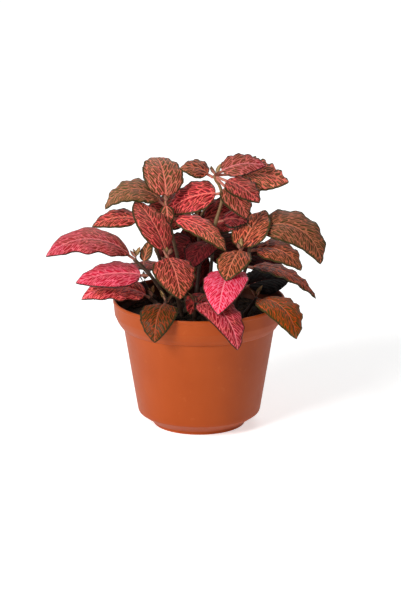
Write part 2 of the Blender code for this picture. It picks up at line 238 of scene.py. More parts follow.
LOOKS = {
    "leaf_crest": Look("red", 0.45, 0.0, 0.5, 0.02, 5, -0.05),
    "leaf_crest_front": Look("red", 0.4, 0.25, 0.2, 0.02, 3),
    "leaf_dome": Look("bronze", 0.4, 0.05, 0.7, 0.03, 5),
    "leaf_centre": Look("red", 1.0, 0.1, 0.5, 0.02, 5, -0.6),
    "leaf_ladder_back": Look("red", 0.7, 0.75, 0.4, 0.015, 5, -0.15),
    "leaf_ladder_front": Look("red", 0.65, 0.3, 0.6, 0.03, 5, -0.03),
    "leaf_wave": Look("rose", 0.15, 0.75, 0.6, 0.115, 3.2, 0.0, 0.6, -0.62),
    "leaf_rose_left": Look("rose", 0.65, 0.9, 0.4, 0.02, 4, -0.1),
    "leaf_small_left": Look("bronze", 0.3, 0.3, 0.2, 0.02, 3),
    "leaf_low_left": Look("rose", 0.1, 0.4, 0.5, 0.09, 3, -0.5, 0.5, -0.7),
    "leaf_mid_left": Look("red", 0.8, 0.65, 0.4, 0.02, 4, -0.15),
    "leaf_rim_left": Look("bronze", 0.3, 0.1, 0.5, 0.02, 5, 0.4),
    "leaf_rim_front": Look("rose", 0.35, 0.5, 0.6, 0.03, 5, -0.1),
    "leaf_rose_front": Look("rose", 1.0, 1.0, 0.4, 0.02, 5, -0.3),
    "leaf_fork_front": Look("bronze", 0.8, 0.5, 0.4, 0.02, 4, -0.3),
    "leaf_fork_back": Look("bronze", 1.0, 0.6, 0.5, 0.02, 4, -0.42),
    "leaf_right_arch": Look("bronze", 0.5, 0.25, 0.8, 0.03, 5),
    "leaf_right_curl": Look("bronze", 1.0, 0.1, 0.8, 0.04, 4, -0.2),
    "leaf_right_blade": Look("bronze", 0.95, 0.8, 0.7, 0.03, 5),
    # leaf_shaded_right is darkened almost to black: painted shade where the plant is in deep shadow.
    "leaf_shaded_right": Look("dark", 0.1, 0.0, 0.4, 0.02, 4, 0.78),
    "leaf_rim_right": Look("bronze", 0.3, 0.0, 0.6, 0.03, 5, -0.3),
    "leaf_top_back": Look("rose", 0.1, 0.5, 0.6, 0.03, 5, 0.12),
    "leaf_top_left": Look("bronze", 1.0, 0.5, 0.4, 0.02, 4),
    "leaf_top_right": Look("red", 0.1, 0.6, 1.1, 0.06, 7, -0.7),
    "leaf_top_front": Look("red", 0.75, 0.75, 0.6, 0.04, 5, 0.12),
    "leaf_top_low": Look("red", 0.5, 0.5, 0.5, 0.03, 5),
    "leaf_red_left": Look("red", 0.9, 1.0, 0.6, 0.02, 4, -0.2),
    "leaf_inner_rose": Look("red", 1.0, 1.0, 0.3, 0.02, 4, 0.6),
    "leaf_inner_low": Look("red", 0.8, 0.9, 0.4, 0.02, 4, 0.45),
    "leaf_back_1": Look("bronze", 0.7, 0.4, 0.7, 0.03, 5),
    "leaf_back_3": Look("rose", 0.5, 0.6, 0.7, 0.03, 5),
    "leaf_back_4": Look("dark", 0.2, 0.4, 0.6, 0.03, 5),
    "leaf_back_5": Look("red", 0.6, 0.3, 0.7, 0.03, 5),
    "leaf_back_6": Look("rose", 0.4, 0.5, 0.7, 0.03, 5),
    "leaf_back_7": Look("red", 0.5, 0.7, 0.6, 0.03, 4),
    "leaf_back_8": Look("dark", 0.6, 0.8, 0.5, 0.02, 4),
    "leaf_fill_1": Look("red", 0.7, 0.7, 0.5, 0.02, 4, 0.2),
    "leaf_fill_2": Look("red", 0.9, 0.9, 0.5, 0.02, 4, 0.3),
    "leaf_fill_3": Look("dark", 0.9, 0.7, 0.5, 0.02, 4, 0.2),
    "leaf_fill_4": Look("dark", 0.5, 0.5, 0.5, 0.02, 4, 0.3),
    "leaf_fill_5": Look("dark", 0.9, 1.0, 0.5, 0.02, 4, 0.2),
    "leaf_fill_6": Look("dark", 0.5, 0.7, 0.5, 0.02, 4),
}


# ---------------------------------------------------------------- colours


def tone(red, green, blue):
    """A paint-chart colour of 0 to 255 as the light it sends back."""
    found = []
    for part in (red, green, blue):
        found.append(((part / 255 + 0.055) / 1.055) ** 2.4 if part > 10 else part / 3295)
    return (*found, 1.0)


# ---------------------------------------------------------------- node helpers


def node(tree, kind, **settings):
    """A new node with its settings made."""
    made = tree.nodes.new(kind)
    for name, value in settings.items():
        setattr(made, name, value)
    return made


def feed(tree, value, socket):
    """Joins a socket to an input, or sets the input where the value is a plain one."""
    if isinstance(value, bpy.types.NodeSocket):
        tree.links.new(value, socket)
    else:
        socket.default_value = value


def sums(tree, operation, *values, clamp=False):
    """One step of arithmetic on sockets or plain numbers."""
    made = node(tree, "ShaderNodeMath", operation=operation, use_clamp=clamp)
    for value, socket in zip(values, made.inputs):
        feed(tree, value, socket)
    return made.outputs[0]


def fade(tree, value, start, end, low=1.0, high=0.0):
    """A smooth step from low to high as the value goes from start to end."""
    made = node(tree, "ShaderNodeMapRange", interpolation_type="SMOOTHSTEP")
    names = ("Value", "From Min", "From Max", "To Min", "To Max")
    for name, number in zip(names, (value, start, end, low, high)):
        feed(tree, number, made.inputs[name])
    return made.outputs["Result"]


def blend(tree, share, first, second):
    """A colour that goes from the first to the second by a share of 0 to 1."""
    made = node(tree, "ShaderNodeMix", data_type="RGBA")
    feed(tree, share, made.inputs[0])
    feed(tree, first, made.inputs[6])
    feed(tree, second, made.inputs[7])
    return made.outputs[2]


def grain(tree, place, scale, detail=3.0):
    """Soft noise of 0 to 1 over a place."""
    made = node(tree, "ShaderNodeTexNoise")
    feed(tree, place, made.inputs["Vector"])
    made.inputs["Scale"].default_value = scale
    made.inputs["Detail"].default_value = detail
    made.inputs["Roughness"].default_value = 0.55
    return made.outputs["Fac"]


def new_group(name, inputs, outputs):
    """An empty node group with named number inputs and outputs, and its two end nodes."""
    tree = bpy.data.node_groups.new(name, "ShaderNodeTree")
    for label, kind, value in inputs:
        made = tree.interface.new_socket(label, in_out="INPUT", socket_type=kind)
        if value is not None:
            made.default_value = value
    for label, kind in outputs:
        tree.interface.new_socket(label, in_out="OUTPUT", socket_type=kind)
    given = tree.nodes.new("NodeGroupInput").outputs
    found = tree.nodes.new("NodeGroupOutput").inputs
    return tree, given, found


def place_group(tree, group, **values):
    """A shared effect put into a tree, with its inputs set by name."""
    made = tree.nodes.new("ShaderNodeGroup")
    made.node_tree = group
    for name, value in values.items():
        feed(tree, value, made.inputs[name.replace("_", " ")])
    return made.outputs


def new_material(name, roughness=0.5):
    """A new material, its tree and its shader."""
    made = bpy.data.materials.new(name)
    made.use_nodes = True
    shader = made.node_tree.nodes["Principled BSDF"]
    shader.inputs["Roughness"].default_value = roughness
    return made, made.node_tree, shader


def relief(tree, shader, height, strength, distance):
    """Fine relief on a shader's surface, its depth in millimetres."""
    made = node(tree, "ShaderNodeBump")
    made.inputs["Strength"].default_value = strength
    made.inputs["Distance"].default_value = distance * MM
    feed(tree, height, made.inputs["Height"])
    tree.links.new(made.outputs["Normal"], shader.inputs["Normal"])


# ---------------------------------------------------------------- shared effects


def nerve_net_group():
    """The veins of a blade, in millimetres along it and out from its midrib."""
    number = "NodeSocketFloat"
    inputs = (("Cell", number, 3.0), ("Vein Width", number, 0.085), ("Margin Width", number, 1.25))
    outputs = [(label, number) for label in ("Vein", "Midrib", "Margin", "Mottle", "Height")]
    tree, given, found = new_group("nerve_net", inputs, outputs)
    spot = node(tree, "ShaderNodeAttribute", attribute_name="vein")
    blade = node(tree, "ShaderNodeAttribute", attribute_name="blade")
    axes = node(tree, "ShaderNodeSeparateXYZ")
    tree.links.new(spot.outputs["Vector"], axes.inputs[0])
    parts = node(tree, "ShaderNodeSeparateXYZ")
    tree.links.new(blade.outputs["Vector"], parts.inputs[0])
    run, across, edge = axes.outputs
    share, seed, _ = parts.outputs
    away = sums(tree, "ABSOLUTE", across)
    side = sums(tree, "SIGN", across)
    lay = node(tree, "ShaderNodeCombineXYZ")
    feed(tree, run, lay.inputs[0])
    feed(tree, across, lay.inputs[1])
    feed(tree, seed, lay.inputs[2])
    wander = sums(tree, "MULTIPLY_ADD", grain(tree, lay.outputs[0], 0.35, 2), 2.6, -1.3)
    slant = sums(tree, "MULTIPLY_ADD", away, RIB_CURVE, RIB_SLANT)
    rib = sums(tree, "SUBTRACT", run, sums(tree, "MULTIPLY", away, slant))
    waved = sums(tree, "ADD", rib, wander)
    cell = node(tree, "ShaderNodeCombineXYZ")
    long_way = sums(tree, "DIVIDE", waved, given["Cell"])
    out_way = sums(tree, "DIVIDE", sums(tree, "MULTIPLY", away, 0.8), given["Cell"])
    feed(tree, sums(tree, "MULTIPLY_ADD", seed, 3.7, long_way), cell.inputs[0])
    feed(tree, sums(tree, "MULTIPLY_ADD", side, 31.0, out_way), cell.inputs[1])
    net = node(tree, "ShaderNodeTexVoronoi", voronoi_dimensions="2D", feature="DISTANCE_TO_EDGE")
    net.inputs["Scale"].default_value = 1.0
    net.inputs["Randomness"].default_value = 0.85
    tree.links.new(cell.outputs[0], net.inputs["Vector"])
    reach = sums(tree, "MULTIPLY", given["Vein Width"], 1.9)
    fine = fade(tree, net.outputs["Distance"], sums(tree, "MULTIPLY", given["Vein Width"], 0.35), reach)
    nearest = sums(tree, "PINGPONG", sums(tree, "MULTIPLY_ADD", wander, 0.35, rib), RIB_SPACING / 2)
    ribs = fade(tree, nearest, 0.12, 0.5)
    slim = sums(tree, "MULTIPLY_ADD", share, -0.75, 1.25)
    middle = fade(tree, sums(tree, "DIVIDE", away, slim), 0.25, 0.7)
    veins = sums(tree, "MAXIMUM", sums(tree, "MAXIMUM", fine, ribs), middle)
    inner_edge = sums(tree, "ADD", edge, -0.45)
    rough_edge = sums(tree, "MULTIPLY_ADD", grain(tree, lay.outputs[0], 0.9, 2), 0.9, inner_edge)
    solid_to = sums(tree, "MULTIPLY", given["Margin Width"], 0.45)
    margin = fade(tree, rough_edge, solid_to, given["Margin Width"])
    speck = grain(tree, lay.outputs[0], 2.4, 3)
    height = sums(tree, "MULTIPLY_ADD", veins, -0.8, sums(tree, "MULTIPLY_ADD", speck, 0.35, 0.8))
    feed(tree, veins, found["Vein"])
    feed(tree, middle, found["Midrib"])
    feed(tree, margin, found["Margin"])
    feed(tree, grain(tree, lay.outputs[0], 0.16, 3), found["Mottle"])
    feed(tree, height, found["Height"])
    return tree


def flecks_group():
    """Cloudy shading and small flecks over a piece, by where each point is on it."""
    number = "NodeSocketFloat"
    inputs = (("Scale", number, 100.0), ("Fleck", number, 0.6))
    outputs = (("Cloud", number), ("Flecks", number), ("Grain", number))
    tree, given, found = new_group("flecks", inputs, outputs)
    place = node(tree, "ShaderNodeTexCoord").outputs["Object"]
    cloud = node(tree, "ShaderNodeTexNoise")
    tree.links.new(place, cloud.inputs["Vector"])
    feed(tree, given["Scale"], cloud.inputs["Scale"])
    cloud.inputs["Detail"].default_value = 4.0
    fine = node(tree, "ShaderNodeTexNoise")
    tree.links.new(place, fine.inputs["Vector"])
    feed(tree, sums(tree, "MULTIPLY", given["Scale"], 9.0), fine.inputs["Scale"])
    fine.inputs["Detail"].default_value = 3.0
    feed(tree, cloud.outputs["Fac"], found["Cloud"])
    top = sums(tree, "ADD", given["Fleck"], 0.08)
    feed(tree, fade(tree, fine.outputs["Fac"], given["Fleck"], top, 0.0, 1.0), found["Flecks"])
    feed(tree, fine.outputs["Fac"], found["Grain"])
    return tree


nerve_net = nerve_net_group()
flecks = flecks_group()


# ---------------------------------------------------------------- finishes


def leaf_skin(name, cell_pair, vein_pair, midrib, margin, edge, roughness=0.5, gleam=0.22, deepen=0.0):
    """A blade's upper skin, with its veins and the cells between them each duller or more flushed.

    Low leaves turn olive by deepen, and the top ones are painted paler where they aren't flushed, as painted
    light from the sky.
    """
    made, tree, shader = new_material(name, roughness)
    net = place_group(tree, nerve_net, Margin_Width=edge)
    blade = node(tree, "ShaderNodeAttribute", attribute_name="blade")
    parts = node(tree, "ShaderNodeSeparateXYZ")
    tree.links.new(blade.outputs["Vector"], parts.inputs[0])
    drift = sums(tree, "MULTIPLY_ADD", net["Mottle"], 1.1, -0.55)
    flush = sums(tree, "ADD", parts.outputs[2], drift, clamp=True)
    place = node(tree, "ShaderNodeSeparateXYZ")
    tree.links.new(node(tree, "ShaderNodeTexCoord").outputs["Object"], place.inputs[0])
    height = place.outputs[2]
    calm = sums(tree, "SUBTRACT", 1.0, flush)
    # Painted light: cells and veins that aren't flushed grow paler with height, standing in for the sky's
    # light on the top leaves.
    lift = sums(tree, "MULTIPLY", fade(tree, height, PAINTED_LIGHT_FROM, PAINTED_LIGHT_ABOVE, 0.0, PAINTED_LIGHT_MOST), calm)
    cells = blend(tree, lift, blend(tree, flush, *cell_pair), tone(136, 140, 84))
    veins = blend(tree, lift, blend(tree, flush, *vein_pair), tone(255, 182, 160))
    low = sums(tree, "MULTIPLY", fade(tree, height, OLIVE_BELOW, OLIVE_UNTIL, deepen, 0.0), calm)
    cells = blend(tree, low, cells, tone(86, 76, 24))
    veins = blend(tree, low, veins, tone(208, 72, 56))
    body = blend(tree, net["Vein"], cells, veins)
    ridge = blend(tree, sums(tree, "MULTIPLY", net["Midrib"], 0.55), body, midrib)
    edged = blend(tree, net["Margin"], ridge, margin)
    deep = node(tree, "ShaderNodeHueSaturation")
    richer = fade(tree, height, DEEP_BELOW, DEEP_UNTIL, 1.0 + 0.15 * deepen, 1.0)
    feed(tree, richer, deep.inputs["Saturation"])
    # Painted shade: the skin's value is lowered by the leaf's depth, and raised as painted light where the
    # depth is below 0.
    depth = node(tree, "ShaderNodeAttribute", attribute_name="depth")
    feed(tree, sums(tree, "SUBTRACT", 1.0, depth.outputs["Fac"]), deep.inputs["Value"])
    feed(tree, edged, deep.inputs["Color"])
    feed(tree, deep.outputs["Color"], shader.inputs["Base Color"])
    gloss = sums(tree, "MULTIPLY_ADD", net["Vein"], 0.12, roughness - 0.06)
    feed(tree, gloss, shader.inputs["Roughness"])
    shader.inputs["Specular IOR Level"].default_value = gleam
    relief(tree, shader, net["Height"], 0.8, 0.35)
    return made


def leaf_back(name):
    """A blade's underside, paler, with the net of veins standing out."""
    made, tree, shader = new_material(name, 0.6)
    net = place_group(tree, nerve_net, Vein_Width=0.1)
    body = blend(tree, net["Mottle"], tone(146, 112, 84), tone(184, 122, 108))
    veined = blend(tree, sums(tree, "MULTIPLY", net["Vein"], 0.6), body, tone(216, 148, 130))
    edged = blend(tree, net["Margin"], veined, tone(92, 74, 48))
    feed(tree, edged, shader.inputs["Base Color"])
    feed(tree, sums(tree, "MULTIPLY_ADD", net["Vein"], -0.1, 0.62), shader.inputs["Roughness"])
    relief(tree, shader, sums(tree, "MULTIPLY", net["Vein"], 1.0), 0.5, 0.25)
    return made


def stalk_skin(name, low, high, tip):
    """The fleshy skin of stems and leaf stalks, streaked and finely downy, and darker low down as painted
    shade.
    """
    made, tree, shader = new_material(name, 0.55)
    spots = place_group(tree, flecks, Scale=110.0, Fleck=0.58)
    height = node(tree, "ShaderNodeSeparateXYZ")
    tree.links.new(node(tree, "ShaderNodeTexCoord").outputs["Object"], height.inputs[0])
    # Painted shade: the skin darkens and its cloud and flecks fade low down, standing in for the shade deep
    # in the plant.
    up = fade(tree, height.outputs[2], 0.105, 0.17, 0.0, 1.0)
    body = blend(tree, up, low, high)
    mild = sums(tree, "MULTIPLY_ADD", up, 0.75, 0.25)
    cloudy = blend(tree, sums(tree, "MULTIPLY", spots["Cloud"], mild), body, tip)
    specks = sums(tree, "MULTIPLY", spots["Flecks"], sums(tree, "MULTIPLY", mild, 0.5))
    specked = blend(tree, specks, cloudy, tone(196, 160, 118))
    feed(tree, specked, shader.inputs["Base Color"])
    feed(tree, sums(tree, "MULTIPLY_ADD", spots["Grain"], 0.25, 0.42), shader.inputs["Roughness"])
    relief(tree, shader, spots["Grain"], 0.5, 0.15)
    return made


def pot_plastic():
    """Moulded terracotta-coloured plastic, satin, with flow marks, a fine grain, and painted shade darkening
    the inner wall above the mix.
    """
    made, tree, shader = new_material("pot_plastic", 0.42)
    spots = place_group(tree, flecks, Scale=26.0, Fleck=0.64)
    coords = node(tree, "ShaderNodeTexCoord")
    place = coords.outputs["Object"]
    stretch = node(tree, "ShaderNodeMapping")
    tree.links.new(place, stretch.inputs["Vector"])
    stretch.inputs["Scale"].default_value = (1.0, 1.0, 0.12)
    flow = grain(tree, stretch.outputs[0], 90.0, 4)
    rings = node(tree, "ShaderNodeMapping")
    tree.links.new(place, rings.inputs["Vector"])
    rings.inputs["Scale"].default_value = (0.02, 0.02, 1.0)
    turning = grain(tree, rings.outputs[0], 900.0, 2)
    body = blend(tree, fade(tree, spots["Cloud"], 0.3, 0.7, 0.0, 1.0), tone(172, 72, 14), tone(180, 78, 20))
    flowed = blend(tree, sums(tree, "MULTIPLY", flow, 0.35), body, tone(160, 63, 13))
    dusty = blend(tree, sums(tree, "MULTIPLY", spots["Flecks"], 0.22), flowed, tone(190, 98, 44))
    apart = node(tree, "ShaderNodeSeparateXYZ")
    tree.links.new(place, apart.inputs[0])
    outward = node(tree, "ShaderNodeVectorMath", operation="DOT_PRODUCT")
    level = node(tree, "ShaderNodeVectorMath", operation="MULTIPLY")
    tree.links.new(place, level.inputs[0])
    level.inputs[1].default_value = (1.0, 1.0, 0.0)
    tree.links.new(level.outputs[0], outward.inputs[0])
    tree.links.new(coords.outputs["Normal"], outward.inputs[1])
    # Painted shade: the inward-facing wall, from the mix up to just under the rim top, is darkened to near
    # peat colour, where the plant shades it.
    inward = fade(tree, outward.outputs["Value"], -0.03, -0.01)
    ragged = sums(tree, "MULTIPLY_ADD", spots["Cloud"], 0.004, apart.outputs[2])
    inner_shade_band = fade(tree, ragged, 0.0885, 0.0925)
    painted_inner_shade = sums(tree, "MULTIPLY", inward, sums(tree, "MULTIPLY", inner_shade_band, 0.88))
    inner_shaded = blend(tree, painted_inner_shade, dusty, tone(34, 19, 12))
    feed(tree, inner_shaded, shader.inputs["Base Color"])
    gloss = sums(tree, "MULTIPLY_ADD", spots["Grain"], 0.16, sums(tree, "MULTIPLY_ADD", flow, 0.1, 0.32))
    feed(tree, gloss, shader.inputs["Roughness"])
    shader.inputs["Specular IOR Level"].default_value = 0.25
    fine = sums(tree, "MULTIPLY_ADD", turning, 0.5, spots["Grain"])
    relief(tree, shader, fine, 0.18, 0.12)
    return made


def peat(name, dark, light, fibre):
    """Dark damp potting mix, or its crumbs."""
    made, tree, shader = new_material(name, 0.95)
    spots = place_group(tree, flecks, Scale=220.0, Fleck=0.62)
    body = blend(tree, spots["Cloud"], dark, light)
    bits = blend(tree, sums(tree, "MULTIPLY", spots["Flecks"], 0.7), body, fibre)
    feed(tree, bits, shader.inputs["Base Color"])
    feed(tree, sums(tree, "MULTIPLY_ADD", spots["Grain"], 0.2, 0.78), shader.inputs["Roughness"])
    shader.inputs["Specular IOR Level"].default_value = 0.12
    relief(tree, shader, spots["Cloud"], 0.9, 0.8)
    return made


# Each skin's cells and veins (dull, then flushed), its midrib and margin, the margin's width, and so on.
SKINS = {
    "rose": leaf_skin(
        "rose_leaf_skin",
        (tone(104, 28, 16), tone(216, 24, 58)), (tone(226, 94, 72), tone(252, 112, 140)),
        tone(250, 148, 154), tone(58, 34, 20), 1.3,
    ),
    "red": leaf_skin(
        "red_leaf_skin",
        (tone(78, 54, 24), tone(124, 14, 20)), (tone(218, 110, 74), tone(246, 88, 90)),
        tone(240, 136, 114), tone(64, 53, 22), 2.0, 0.5, 0.22, 0.4,
    ),
    "bronze": leaf_skin(
        "bronze_leaf_skin",
        (tone(78, 58, 20), tone(84, 28, 16)), (tone(176, 96, 52), tone(214, 98, 72)),
        tone(214, 132, 100), tone(66, 57, 23), 2.0, 0.5, 0.22, 0.5,
    ),
    # A near-black maroon skin for the leaves deep inside the plant: partly their own deep red, partly
    # painted shade.
    "dark": leaf_skin(
        "dark_leaf_skin",
        (tone(26, 16, 11), tone(78, 15, 19)), (tone(50, 24, 19), tone(134, 38, 42)),
        tone(104, 44, 40), tone(20, 15, 9), 1.3, 0.7, 0.1,
    ),
    "young": leaf_skin(
        "young_leaf_skin",
        (tone(122, 104, 54), tone(150, 104, 64)), (tone(170, 138, 84), tone(196, 138, 96)),
        tone(206, 168, 120), tone(84, 66, 34), 0.6,
    ),
}
BACK = leaf_back("leaf_underside")
STALK = stalk_skin("leaf_stalk_skin", tone(150, 96, 74), tone(186, 118, 92), tone(196, 96, 88))
# Stems are painted near-black low down as painted shade, and tan-olive higher up.
STEM = stalk_skin("stem_skin", tone(38, 25, 17), tone(142, 116, 66), tone(120, 72, 50))
PLASTIC = pot_plastic()
PEAT = peat("potting_mix", tone(22, 17, 13), tone(44, 33, 25), tone(74, 56, 40))
CRUMBS = peat("potting_mix_crumbs", tone(34, 26, 20), tone(66, 50, 38), tone(104, 80, 56))


# ---------------------------------------------------------------- mesh helpers


def finish_piece(name, bm, finishes, node_name=None, angle=40):
    """A finished piece at the origin, riding on the one body, standing for its frame node."""
    mesh = bpy.data.meshes.new(name)
    bm.to_mesh(mesh)
    bm.free()
    for finish in finishes:
        mesh.materials.append(finish)
    mesh.shade_smooth()
    mesh.set_sharp_from_angle(angle=math.radians(angle))
    made = bpy.data.objects.new(name, mesh)
    bpy.context.scene.collection.objects.link(made)
    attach(made, "root")
    if node_name:
        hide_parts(node_name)
    return made


def add_shape(bm, other):
    """Adds another shape's mesh, with what is written on its points, to a shape."""
    mesh = bpy.data.meshes.new("spare")
    other.to_mesh(mesh)
    other.free()
    bm.from_mesh(mesh)
    bpy.data.meshes.remove(mesh)


def rod(route, radii, sides, finish=0):
    """A capped round rod along a route in millimetres, with a radius at each of its points."""
    bm = bmesh.new()
    bmesh.ops.create_cone(bm, cap_ends=True, segments=sides, radius1=1, radius2=1, depth=2)
    long_edges = [edge for edge in bm.edges if abs(edge.verts[0].co.z - edge.verts[1].co.z) > 1]
    bmesh.ops.subdivide_edges(bm, edges=long_edges, cuts=len(route) - 2)
    ahead = route[1:] + route[-1:]
    behind = route[:1] + route[:-1]
    tangents = [(after - before).normalized() for before, after in zip(behind, ahead)]
    first = tangents[0].orthogonal().normalized()
    sets = []
    for tangent in tangents:
        first = (first - first.dot(tangent) * tangent).normalized()
        sets.append((first, tangent.cross(first)))
    vein = bm.verts.layers.float_vector.new("vein")
    blade = bm.verts.layers.float_vector.new("blade")
    # Rods carry a depth of 0, so they take no painted shade.
    bm.verts.layers.float.new("depth")
    for vert in bm.verts:
        k = round((vert.co.z + 1) / 2 * (len(route) - 1))
        one, two = sets[k]
        vert.co = (route[k] + (one * vert.co.x + two * vert.co.y) * radii[k]) * MM
        vert[vein] = (k, 0, 5)
        vert[blade] = (k / len(route), 0, 0.5)
    for face in bm.faces:
        face.material_index = finish
    return bm


def turned(profile, sides):
    """A closed solid turned about Z from (radius, height) points in millimetres, outside first."""
    bm = bmesh.new()
    ring = [bm.verts.new((r * MM, 0, z * MM)) for r, z in profile]
    edges = [bm.edges.new(pair) for pair in zip(ring, ring[1:])]
    bmesh.ops.spin(
        bm, geom=ring + edges, axis=(0, 0, 1), cent=(0, 0, 0), angle=math.tau, steps=sides, use_merge=True
    )
    bmesh.ops.remove_doubles(bm, verts=bm.verts, dist=0.005 * MM)
    bmesh.ops.recalc_face_normals(bm, faces=bm.faces)
    return bm


def softened(corners, radius):
    """A profile with its inner corners rounded by a small radius."""
    steps = 3
    found = [corners[0]]
    for before, here, after in zip(corners, corners[1:], corners[2:]):
        here = Vector(here)
        back = Vector(before) - here
        ahead = Vector(after) - here
        cut = min(radius, back.length * 0.45, ahead.length * 0.45)
        start = here + back.normalized() * cut
        end = here + ahead.normalized() * cut
        for k in range(steps + 1):
            t = k / steps
            found.append(tuple((1 - t) ** 2 * start + 2 * t * (1 - t) * here + t**2 * end))
    found.append(corners[-1])
    return found


# ---------------------------------------------------------------- pot and potting mix


def make_pot():
    """The moulded pot, with a rolled rim, a collar over a tapered wall, a foot ring and drain holes."""
    corners = (
        (0, 0.9),
        (27.5, 0.9),
        (28.5, 0),
        (FOOT_RADIUS, 0),
        (FOOT_RADIUS, FOOT_HEIGHT),
        (WALL_FOOT_RADIUS - 0.5, CHAMFER_TOP - 0.6),
        (WALL_FOOT_RADIUS + 0.1, CHAMFER_TOP + 1.0),
        (WALL_TOP_RADIUS, COLLAR_FOOT),
        (WALL_TOP_RADIUS + COLLAR_STEP, COLLAR_FOOT + 0.5),
        (RIM_RADIUS - 3.2, COLLAR_FOOT + 4),
        (RIM_RADIUS - 1.0, COLLAR_FOOT + 9),
        (RIM_RADIUS - 0.35, POT_HEIGHT - 2.6),
        (RIM_RADIUS, POT_HEIGHT - 2.2),
        (RIM_RADIUS, POT_HEIGHT),
        (RIM_RADIUS - WALL - 0.1, POT_HEIGHT),
        (RIM_RADIUS - 1.1 - WALL, COLLAR_FOOT + 9),
        (RIM_RADIUS - 3.3 - WALL, COLLAR_FOOT + 4.5),
        (WALL_TOP_RADIUS - WALL, COLLAR_FOOT + WALL),
        (WALL_FOOT_RADIUS - WALL, CHAMFER_TOP + 1.2),
        (FOOT_RADIUS - 0.4, FOOT_HEIGHT + 1.0),
        (FOOT_RADIUS - 2.2, WALL + 0.4),
        (0, WALL + 0.4),
    )
    bm = turned(softened(corners, 0.6), POT_SIDES)
    piece = finish_piece("pot_shell", bm, [PLASTIC], "pot")
    cutters = []
    for i in range(DRAIN_COUNT):
        turn = math.tau * i / DRAIN_COUNT
        place = Vector((DRAIN_CIRCLE * math.cos(turn), DRAIN_CIRCLE * math.sin(turn), 0)) * MM
        bm = bmesh.new()
        bmesh.ops.create_cone(
            bm,
            cap_ends=True,
            segments=32,
            radius1=(DRAIN_RADIUS + 0.25) * MM,
            radius2=(DRAIN_RADIUS - 0.25) * MM,
            depth=6 * MM,
            matrix=Matrix.Translation(place),
        )
        mesh = bpy.data.meshes.new("drain_cutter")
        bm.to_mesh(mesh)
        bm.free()
        cutter = bpy.data.objects.new("drain_cutter", mesh)
        bpy.context.scene.collection.objects.link(cutter)
        cut = piece.modifiers.new("Drain", "BOOLEAN")
        cut.operation = "DIFFERENCE"
        cut.object = cutter
        cutters.append(cutter)
    shaped = piece.evaluated_get(bpy.context.evaluated_depsgraph_get())
    mesh = bpy.data.meshes.new_from_object(shaped)
    piece.modifiers.clear()
    piece.data = mesh
    for cutter in cutters:
        bpy.data.objects.remove(cutter)


def soil_top(x, y):
    """Height of the potting mix at a point, all in millimetres."""
    share = min(math.hypot(x, y) / WALL_TOP_RADIUS, 1.0)
    lumps = math.sin(0.31 * x + 1.0) * math.sin(0.27 * y + 0.4) + 0.6 * math.sin(0.17 * x - 0.23 * y)
    return SOIL_EDGE + SOIL_HEAP * (1 - share**2) + SOIL_LUMP * lumps * (1 - share**4)


def make_soil():
    """The potting mix that fills the pot, crumbly on top."""
    slack = WALL + 0.25
    top_radius = WALL_TOP_RADIUS + COLLAR_STEP + 0.2 - slack
    profile = [
        (0, slack + 0.4),
        (FOOT_RADIUS - 2.6, slack + 0.4),
        (WALL_FOOT_RADIUS - slack - 0.3, CHAMFER_TOP + 1.6),
        (WALL_TOP_RADIUS - slack - 0.1, COLLAR_FOOT + WALL),
        (top_radius, SOIL_EDGE - 0.6),
    ]
    profile += [(top_radius * (1 - k / SOIL_RINGS), SOIL_EDGE) for k in range(1, SOIL_RINGS + 1)]
    bm = turned(profile, SOIL_SIDES)
    for vert in bm.verts:
        x, y, z = vert.co / MM
        if z > SOIL_EDGE - 0.1:
            rough = noise.fractal(Vector((x, y, 0)) * 0.33, 1.0, 2.0, 4)
            vert.co.z = (soil_top(x, y) + 0.9 * rough) * MM
    finish_piece("potting_mix_bed", bm, [PEAT], "soil", 60)
    chance = random.Random(7)
    bm = bmesh.new()
    for _ in range(CRUMB_COUNT):
        turn = chance.uniform(0, math.tau)
        reach = (top_radius - 2.5) * math.sqrt(chance.random())
        size = 0.5 + 1.1 * chance.random() ** 3
        x = reach * math.cos(turn)
        y = reach * math.sin(turn)
        stretch = (chance.uniform(0.8, 2.1), chance.uniform(0.7, 1.2), chance.uniform(0.6, 0.95))
        place = Matrix.Translation(Vector((x, y, soil_top(x, y) + 0.3 * size)) * MM)
        spin = Matrix.Rotation(chance.uniform(0, math.tau), 4, "Z")
        spin = spin @ Matrix.Rotation(chance.uniform(-0.4, 0.4), 4, "X")
        crumb = bmesh.ops.create_icosphere(bm, subdivisions=1, radius=size * MM)["verts"]
        for vert in crumb:
            vert.co *= chance.uniform(0.75, 1.2)
        bmesh.ops.transform(bm, matrix=place @ spin @ Matrix.Diagonal((*stretch, 1.0)), verts=crumb)
    finish_piece("potting_mix_crumbs", bm, [CRUMBS], None, 25)


# ---------------------------------------------------------------- stems


def smooth_route(points, steps):
    """Points read evenly along a Catmull-Rom curve through the given ones, in millimetres."""
    knots = [Vector(p) for p in points]
    knots = [2 * knots[0] - knots[1], *knots, 2 * knots[-1] - knots[-2]]
    spans = len(points) - 1
    found = []
    for i in range(steps + 1):
        along_it = i / steps * spans
        k = min(int(along_it), spans - 1)
        t = along_it - k
        a, b, c, d = knots[k : k + 4]
        found.append(
            0.5 * (2 * b + (c - a) * t + (2 * a - 5 * b + 4 * c - d) * t**2 + (3 * b - a - 3 * c + d) * t**3)
        )
    return found


def along(route, share):
    """The point and direction at a share of the way along a route."""
    reach = share * (len(route) - 1)
    k = min(int(reach), len(route) - 2)
    return route[k].lerp(route[k + 1], reach - k), (route[k + 1] - route[k]).normalized()


